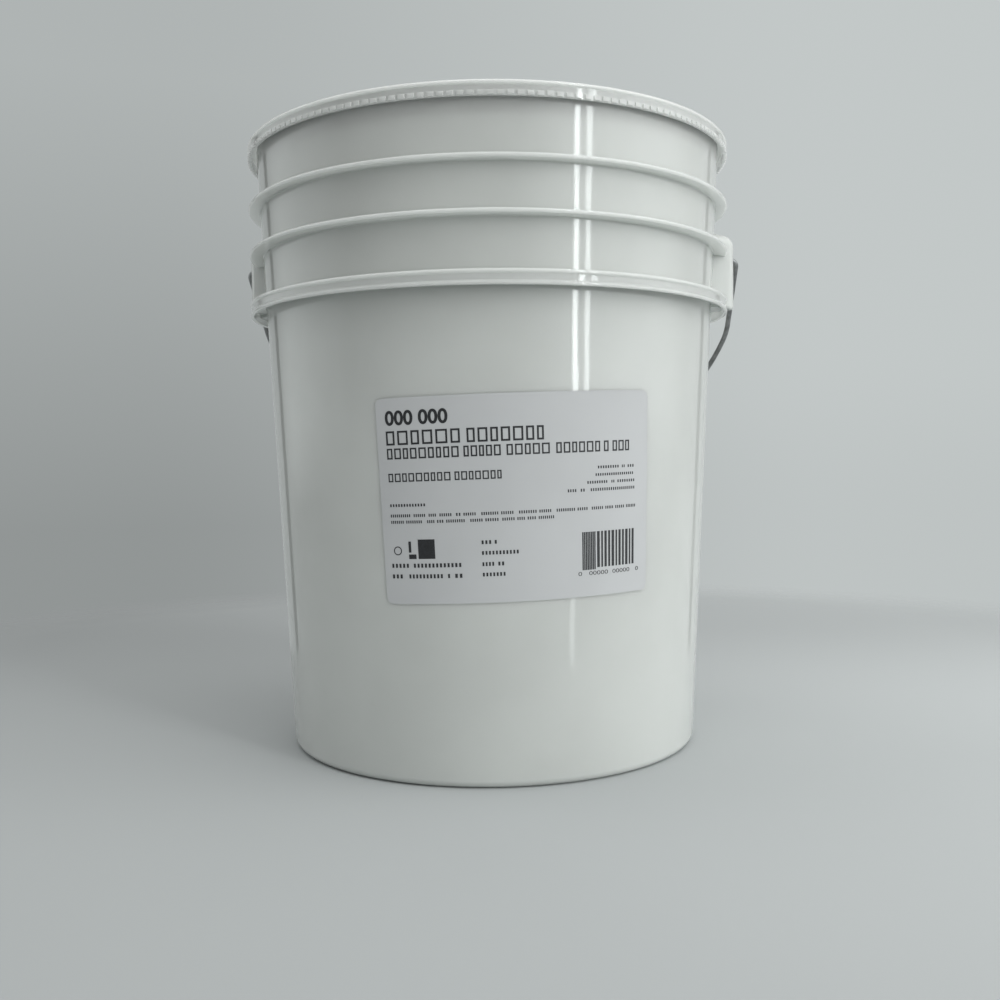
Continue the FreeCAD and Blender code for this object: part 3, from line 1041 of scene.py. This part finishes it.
class PAIL_OT_build_bail(bpy.types.Operator):
    """Build the steel wire bail"""

    bl_idname = "pail.build_bail"
    bl_label = "Build Bail"

    def execute(self, context):
        settings = context.scene.bail_settings
        deselect_all()
        side = EAR_NOSE + settings.ear_gap + settings.wire_radius
        wire_end = EAR_NOSE - settings.seat_depth
        knuckle = settings.knuckle_radius
        bpy.ops.mesh.primitive_circle_add(
            vertices=24, radius=settings.wire_radius, location=(wire_end, 0, 0),
            rotation=(0, QUARTER_TURN, 0),
        )
        wire = named("bail_wire")
        apply_place(wire)
        edit_mode()
        bpy.ops.mesh.select_mode(type="EDGE")
        select_whole_mesh()
        extrude((side - knuckle - wire_end, 0, 0))
        spin_about((side - knuckle, knuckle, 0), QUARTER_TURN, steps=10)
        extrude((0, settings.leg_length - knuckle, 0))
        centre = Vector((side - settings.shoulder_radius, settings.leg_length, 0))
        spin_about(centre, settings.shoulder_turn, steps=6)
        turned = Vector((math.cos(settings.shoulder_turn), math.sin(settings.shoulder_turn), 0))
        point = centre + turned * settings.shoulder_radius
        main, corner = bail_radii(settings, point.x, point.y)
        centre = point - turned * main
        spin_about(centre, settings.corner_start - settings.shoulder_turn, steps=16)
        turned = Vector((math.cos(settings.corner_start), math.sin(settings.corner_start), 0))
        centre = centre + turned * (main - corner)
        spin_about(centre, QUARTER_TURN - settings.corner_start, steps=12)
        extrude((-settings.half_straight, 0, 0))
        object_mode()
        apply_modifier(wire, "MIRROR", use_axis=(True, False, False), merge_threshold=TOLERANCE)
        edit_mode()
        select_whole_mesh()
        bpy.ops.mesh.fill_holes(sides=0)
        object_mode()
        tidy_surface(wire, smooth_degrees=40)
        hang(wire, settings)
        finish_piece(wire, BAIL_BODY, "bail", drawn_wire("drawn_steel", settings.wire_colour))
        return {"FINISHED"}


class PAIL_OT_build_grip(bpy.types.Operator):
    """Build the plastic grip on the bail"""

    bl_idname = "pail.build_grip"
    bl_label = "Build Grip"

    def execute(self, context):
        settings = context.scene.bail_settings
        half = settings.half_straight - settings.grip_end_gap
        bore = settings.wire_radius + settings.bore_gap
        flange = settings.grip_flange_radius
        sleeve = settings.grip_radius
        shoulder = half - settings.grip_flange_width
        soft = 0.8 * MM
        segments = 48
        outline = [
            (bore, -half, 0),
            (flange, -half, soft),
            (flange, -shoulder, soft),
            (sleeve, -shoulder, soft),
            (sleeve, shoulder, soft),
            (flange, shoulder, soft),
            (flange, half, soft),
            (bore, half, 0),
        ]
        grip = turned_body("grip_sleeve", outline, segments)
        edit_mode()
        pick("FACE", lambda face: len(face.verts) == segments)
        bpy.ops.mesh.bridge_edge_loops()
        object_mode()
        tidy_surface(grip, smooth_degrees=32)
        place = Matrix.Translation((0, settings.height, 0))
        grip.matrix_world = place @ Matrix.Rotation(QUARTER_TURN, 4, "Y")
        apply_place(grip)
        hang(grip, settings)
        plastic = moulded_plastic(
            "grip_white_plastic", settings.grip_colour, settings.grip_roughness
        )
        finish_piece(grip, BAIL_BODY, "grip", plastic)
        return {"FINISHED"}


# -------------------- stage


def lobe(nodes, across, ahead, azimuth, half_width, edge=0.0):
    """Share from 0 to 1 of a soft panel round an azimuth, with a flat middle inside its edge."""
    angle = math.radians(azimuth)
    toward = nodes.maths("MULTIPLY", across, math.sin(angle))
    facing = nodes.maths("MULTIPLY_ADD", ahead, -math.cos(angle), toward)
    outer = math.cos(math.radians(half_width))
    inner = math.cos(math.radians(edge))
    return nodes.between(facing, outer, inner)


def room_light(nodes, direction, camera_ray):
    """Level of light from each direction: a backdrop, soft panels and two thin strips.

    z is 0 at the horizon and 1 straight up. The camera sees the plain backdrop alone."""
    split = nodes.add("SeparateXYZ", {0: direction})
    x, y, z = split.outputs
    flat = nodes.maths("SQRT", nodes.maths("SUBTRACT", 1.0001, nodes.maths("MULTIPLY", z, z)))
    across = nodes.maths("DIVIDE", x, flat)
    ahead = nodes.maths("DIVIDE", y, flat)
    dusk = nodes.between(z, -0.06, 0.32, -0.15, 0.0, smooth=False)
    left = nodes.maths("ADD", nodes.maths("MULTIPLY", dusk, camera_ray), 0.45)
    right = nodes.between(z, -0.06, 0.10, 0.54, 0.57)
    share = nodes.between(across, -0.32, 0.32)
    backdrop = nodes.mix(share, left, right)
    level = backdrop
    over_floor = nodes.between(z, -0.10, 0.0)
    for azimuth, half_width, edge, amount in ROOM_PANELS:
        panel = lobe(nodes, across, ahead, azimuth, half_width, edge)
        panel = nodes.maths("MULTIPLY", panel, over_floor)
        level = nodes.maths("MULTIPLY_ADD", panel, amount, level)
    for azimuth in GAP_AZIMUTHS:
        gap = lobe(nodes, across, ahead, azimuth, GAP_HALF_WIDTH, GAP_MIDDLE)
        level = nodes.maths("MULTIPLY", level, nodes.maths("SUBTRACT", 1.0, gap))
    for azimuth, amount, left_below in STRIPS:
        strip = lobe(nodes, across, ahead, azimuth, STRIP_HALF_WIDTH, STRIP_MIDDLE)
        height_share = nodes.between(z, -0.06, -0.02, left_below, 1.0)
        strip = nodes.maths("MULTIPLY", strip, height_share)
        level = nodes.maths("MULTIPLY_ADD", strip, amount, level)
    above = nodes.between(z, 0.74, 0.94)
    level = nodes.mix(above, level, CEILING_LEVEL)
    return nodes.mix(camera_ray, level, backdrop)


def make_world():
    """The room light as a world, turned with the camera, with a cool tint where it is seen."""
    world = bpy.data.worlds.new("studio")
    bpy.context.scene.world = world
    world.use_nodes = True
    tree = world.node_tree
    nodes = Nodes(tree)
    direction = nodes.turned_with_camera(nodes.add("TexCoord").outputs["Generated"])
    path = nodes.add("LightPath")
    level = room_light(nodes, direction, path.outputs["Is Camera Ray"])
    seen = nodes.maths("MAXIMUM", path.outputs["Is Camera Ray"], path.outputs["Is Glossy Ray"])
    seen = nodes.maths("MAXIMUM", seen, path.outputs["Is Transmission Ray"])
    tint = nodes.mix_colour(seen, (1.0, 1.0, 1.0, 1.0), BACKDROP_TINT)
    grey = nodes.add("CombineColor", {0: level, 1: level, 2: level}).outputs[0]
    colour = nodes.add("Mix", {0: 1.0, 6: grey, 7: tint}, data_type="RGBA", blend_type="MULTIPLY")
    background = tree.nodes["Background"]
    tree.links.new(colour.outputs[2], background.inputs["Color"])
    background.inputs["Strength"].default_value = 1.0
    world.cycles.sampling_method = "MANUAL"
    world.cycles.sample_map_resolution = 2048


def make_floor(settings):
    """A pale floor that fades softly into the backdrop a short way round the pail.

    Its colour is painted dimmer at the left, near the camera and at the back: painted light falloff
    and painted shade. Reflections lose it at half the distance."""
    deselect_all()
    disc_radius = 1.2
    softness = 0.10
    bpy.ops.mesh.primitive_circle_add(vertices=96, radius=disc_radius, fill_type="NGON")
    floor = named("studio_floor")
    material, nodes, shader, place = new_material("studio_floor")
    split = nodes.add("SeparateXYZ", {0: nodes.turned_with_camera(place)})
    # Painted light falloff and shade: the floor's colour is lighter towards the right, where the
    # light comes from, and darker near the camera and at the back.
    painted_light_falloff = nodes.between(split.outputs[0], -0.45, 0.45, 0.62, 1.0, smooth=False)
    painted_near_shade = nodes.between(split.outputs[1], -0.50, -0.15, 0.92, 1.0)
    painted_far_shade = nodes.between(split.outputs[1], -0.05, 0.45, 1.0, 0.75)
    level = nodes.maths("MULTIPLY", nodes.maths("MULTIPLY", painted_light_falloff, painted_near_shade), painted_far_shade)
    tint = nodes.mix_colour(level, (0.0, 0.0, 0.0, 1.0), rgba(settings.floor_colour))
    radius = nodes.add("VectorMath", {0: place}, operation="LENGTH").outputs["Value"]
    gloss_ray = nodes.add("LightPath").outputs["Is Glossy Ray"]
    reach = nodes.maths("MULTIPLY", radius, nodes.maths("ADD", gloss_ray, 1.0))
    fade_start = settings.floor_radius - softness
    fade = nodes.between(reach, fade_start, settings.floor_radius + softness, 1.0, 0.0)
    clear = nodes.add("BsdfTransparent").outputs[0]
    mixed = nodes.add("MixShader", {0: fade, 1: clear, 2: shader.outputs[0]}).outputs[0]
    links = nodes.tree.links
    links.new(tint, shader.inputs["Base Color"])
    links.new(mixed, nodes.tree.nodes["Material Output"].inputs["Surface"])
    shader.inputs["Roughness"].default_value = 0.9
    floor.data.materials.append(material)


def make_camera(settings):
    """Almost level camera a little to the right of the front, at half the pail's height."""
    bpy.ops.object.camera_add(location=CAMERA_PLACE)
    camera = bpy.context.object
    camera.name = "studio_camera"
    yaw = Matrix.Rotation(STUDIO_TURN + CAMERA_YAW, 3, "Z")
    pitch = Matrix.Rotation(CAMERA_PITCH, 3, "X")
    roll = Matrix.Rotation(CAMERA_ROLL, 3, "Y")
    upright = Matrix.Rotation(QUARTER_TURN, 3, "X")
    camera.rotation_euler = (yaw @ pitch @ roll @ upright).to_euler()
    camera.data.lens = settings.lens_length
    camera.data.sensor_width = SENSOR_WIDTH
    bpy.context.scene.camera = camera


class PAIL_OT_build_stage(bpy.types.Operator):
    """Build the floor, light and camera"""

    bl_idname = "pail.build_stage"
    bl_label = "Build Stage"

    def execute(self, context):
        settings = context.scene.stage_settings
        context.scene.view_settings.view_transform = "Standard"
        make_floor(settings)
        make_world()
        make_camera(settings)
        return {"FINISHED"}


# -------------------- panel


class PAIL_PT_panel(bpy.types.Panel):
    """Buttons that build each piece"""

    bl_idname = "PAIL_PT_panel"
    bl_label = "Food Pail"
    bl_space_type = "VIEW_3D"
    bl_region_type = "UI"
    bl_category = "Pail"

    def draw(self, context):
        for operator in OPERATORS:
            self.layout.operator(operator.bl_idname)


OPERATORS = (
    PAIL_OT_build_pail,
    PAIL_OT_build_lid,
    PAIL_OT_build_label,
    PAIL_OT_build_bail,
    PAIL_OT_build_grip,
    PAIL_OT_build_stage,
)
SETTINGS = {
    "pail_settings": PailSettings,
    "lid_settings": LidSettings,
    "label_settings": LabelSettings,
    "bail_settings": BailSettings,
    "stage_settings": StageSettings,
}


def register():
    for name, group in SETTINGS.items():
        bpy.utils.register_class(group)
        setattr(bpy.types.Scene, name, PointerProperty(type=group))
    for operator in OPERATORS:
        bpy.utils.register_class(operator)
    bpy.utils.register_class(PAIL_PT_panel)


def unregister():
    bpy.utils.unregister_class(PAIL_PT_panel)
    for operator in reversed(OPERATORS):
        bpy.utils.unregister_class(operator)
    for name, group in SETTINGS.items():
        delattr(bpy.types.Scene, name)
        bpy.utils.unregister_class(group)


def main():
    register()
    bpy.ops.pail.build_pail()
    bpy.ops.pail.build_lid()
    bpy.ops.pail.build_label()
    bpy.ops.pail.build_bail()
    bpy.ops.pail.build_grip()
    bpy.ops.pail.build_stage()
    deselect_all()
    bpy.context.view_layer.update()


if __name__ == "__main__":
    main()
